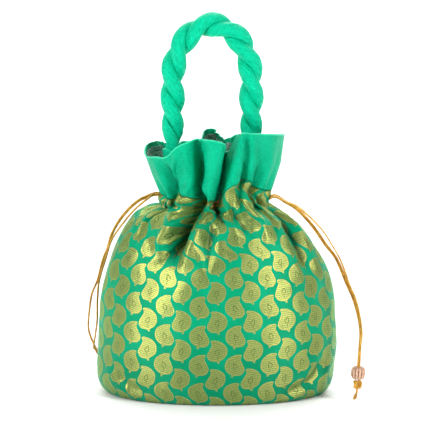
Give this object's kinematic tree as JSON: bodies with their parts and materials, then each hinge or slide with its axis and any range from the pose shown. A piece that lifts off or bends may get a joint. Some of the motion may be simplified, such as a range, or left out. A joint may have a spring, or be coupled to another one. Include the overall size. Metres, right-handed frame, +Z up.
{
  "type": "fabric gift sack",
  "caption": "Gathered brocade gift sack with an oval stiffened base, lined body, frilled mouth, two side-pull drawstrings with beads and a twisted fabric carrying handle.",
  "frame": {"origin": "on the table, at the middle of the sack's bounding box without its free cords, at the underside of the base panel", "axes": "+Z up, -Y towards the front of the sack, +X to the right as the front is seen"},
  "size_m": [0.2366, 0.125, 0.3259],
  "materials": {
    "green_gold_brocade": "silk brocade, satin ground with metallic gold figures",
    "plain_green_silk": "plain dupion silk with a soft slub",
    "dark_green_lining": "thin woven lining, dark green with pale weave flecks",
    "grey_card": "grey board stiffener",
    "cotton_wadding": "cotton wadding",
    "gold_cord": "flat ribbed metallic gold cord",
    "pearl_bead": "ribbed pearl bead with a bronze tint"
  },
  "bodies": {
    "sack": {"front_panel": "green_gold_brocade", "back_panel": "green_gold_brocade", "base_panel": "green_gold_brocade", "front_lining": "dark_green_lining", "back_lining": "dark_green_lining", "base_lining": "dark_green_lining", "base_card": "grey_card", "front_frill": "plain_green_silk", "back_frill": "plain_green_silk", "front_frill_facing": "dark_green_lining", "back_frill_facing": "dark_green_lining", "left_cord_loop": "gold_cord", "right_cord_loop": "gold_cord", "left_handle_root": "plain_green_silk", "right_handle_root": "plain_green_silk"},
    "handle": {"handle_strand_a": "plain_green_silk", "handle_strand_b": "plain_green_silk", "handle_core_a": "cotton_wadding", "handle_core_b": "cotton_wadding"},
    "left_strands": {"left_outer_cord": "gold_cord", "left_inner_cord": "gold_cord"},
    "left_pull": {"left_knot": "gold_cord", "left_cord_end": "gold_cord"},
    "left_bead": {"left_bead": "pearl_bead"},
    "right_strands": {"right_outer_cord": "gold_cord", "right_inner_cord": "gold_cord"},
    "right_pull": {"right_knot": "gold_cord", "right_cord_end": "gold_cord"},
    "right_bead": {"right_bead": "pearl_bead"}
  },
  "joints": [
    {"name": "handle_swing", "type": "hinge", "parent": "sack", "child": "handle", "pos_m": [-0.0055, 0, 0.228], "axis": [1, 0, 0], "range_deg": [-75, 75]},
    {"name": "left_cord_swing", "type": "hinge", "parent": "sack", "child": "left_strands", "pos_m": [-0.0525, 0, 0.1715], "axis": [0, 1, 0], "range_deg": [0, 40]},
    {"name": "left_cord_pull", "type": "slide", "parent": "left_strands", "child": "left_pull", "axis": [-1, 0, 0], "range_m": [0, 0.025], "deforming": ["left_outer_cord", "left_inner_cord"]},
    {"name": "left_bead_slide", "type": "slide", "parent": "left_pull", "child": "left_bead", "axis": [-0.3409, -0.5213, 0.7823], "range_m": [0, 0.014]},
    {"name": "right_cord_swing", "type": "hinge", "parent": "sack", "child": "right_strands", "pos_m": [0.0455, 0, 0.169], "axis": [0, -1, 0], "range_deg": [0, 40]},
    {"name": "right_cord_pull", "type": "slide", "parent": "right_strands", "child": "right_pull", "axis": [1, 0, 0], "range_m": [0, 0.025], "deforming": ["right_outer_cord", "right_inner_cord"]},
    {"name": "right_bead_slide", "type": "slide", "parent": "right_pull", "child": "right_bead", "axis": [0.0599, 0, 0.9982], "range_m": [0, 0.014]}
  ]
}
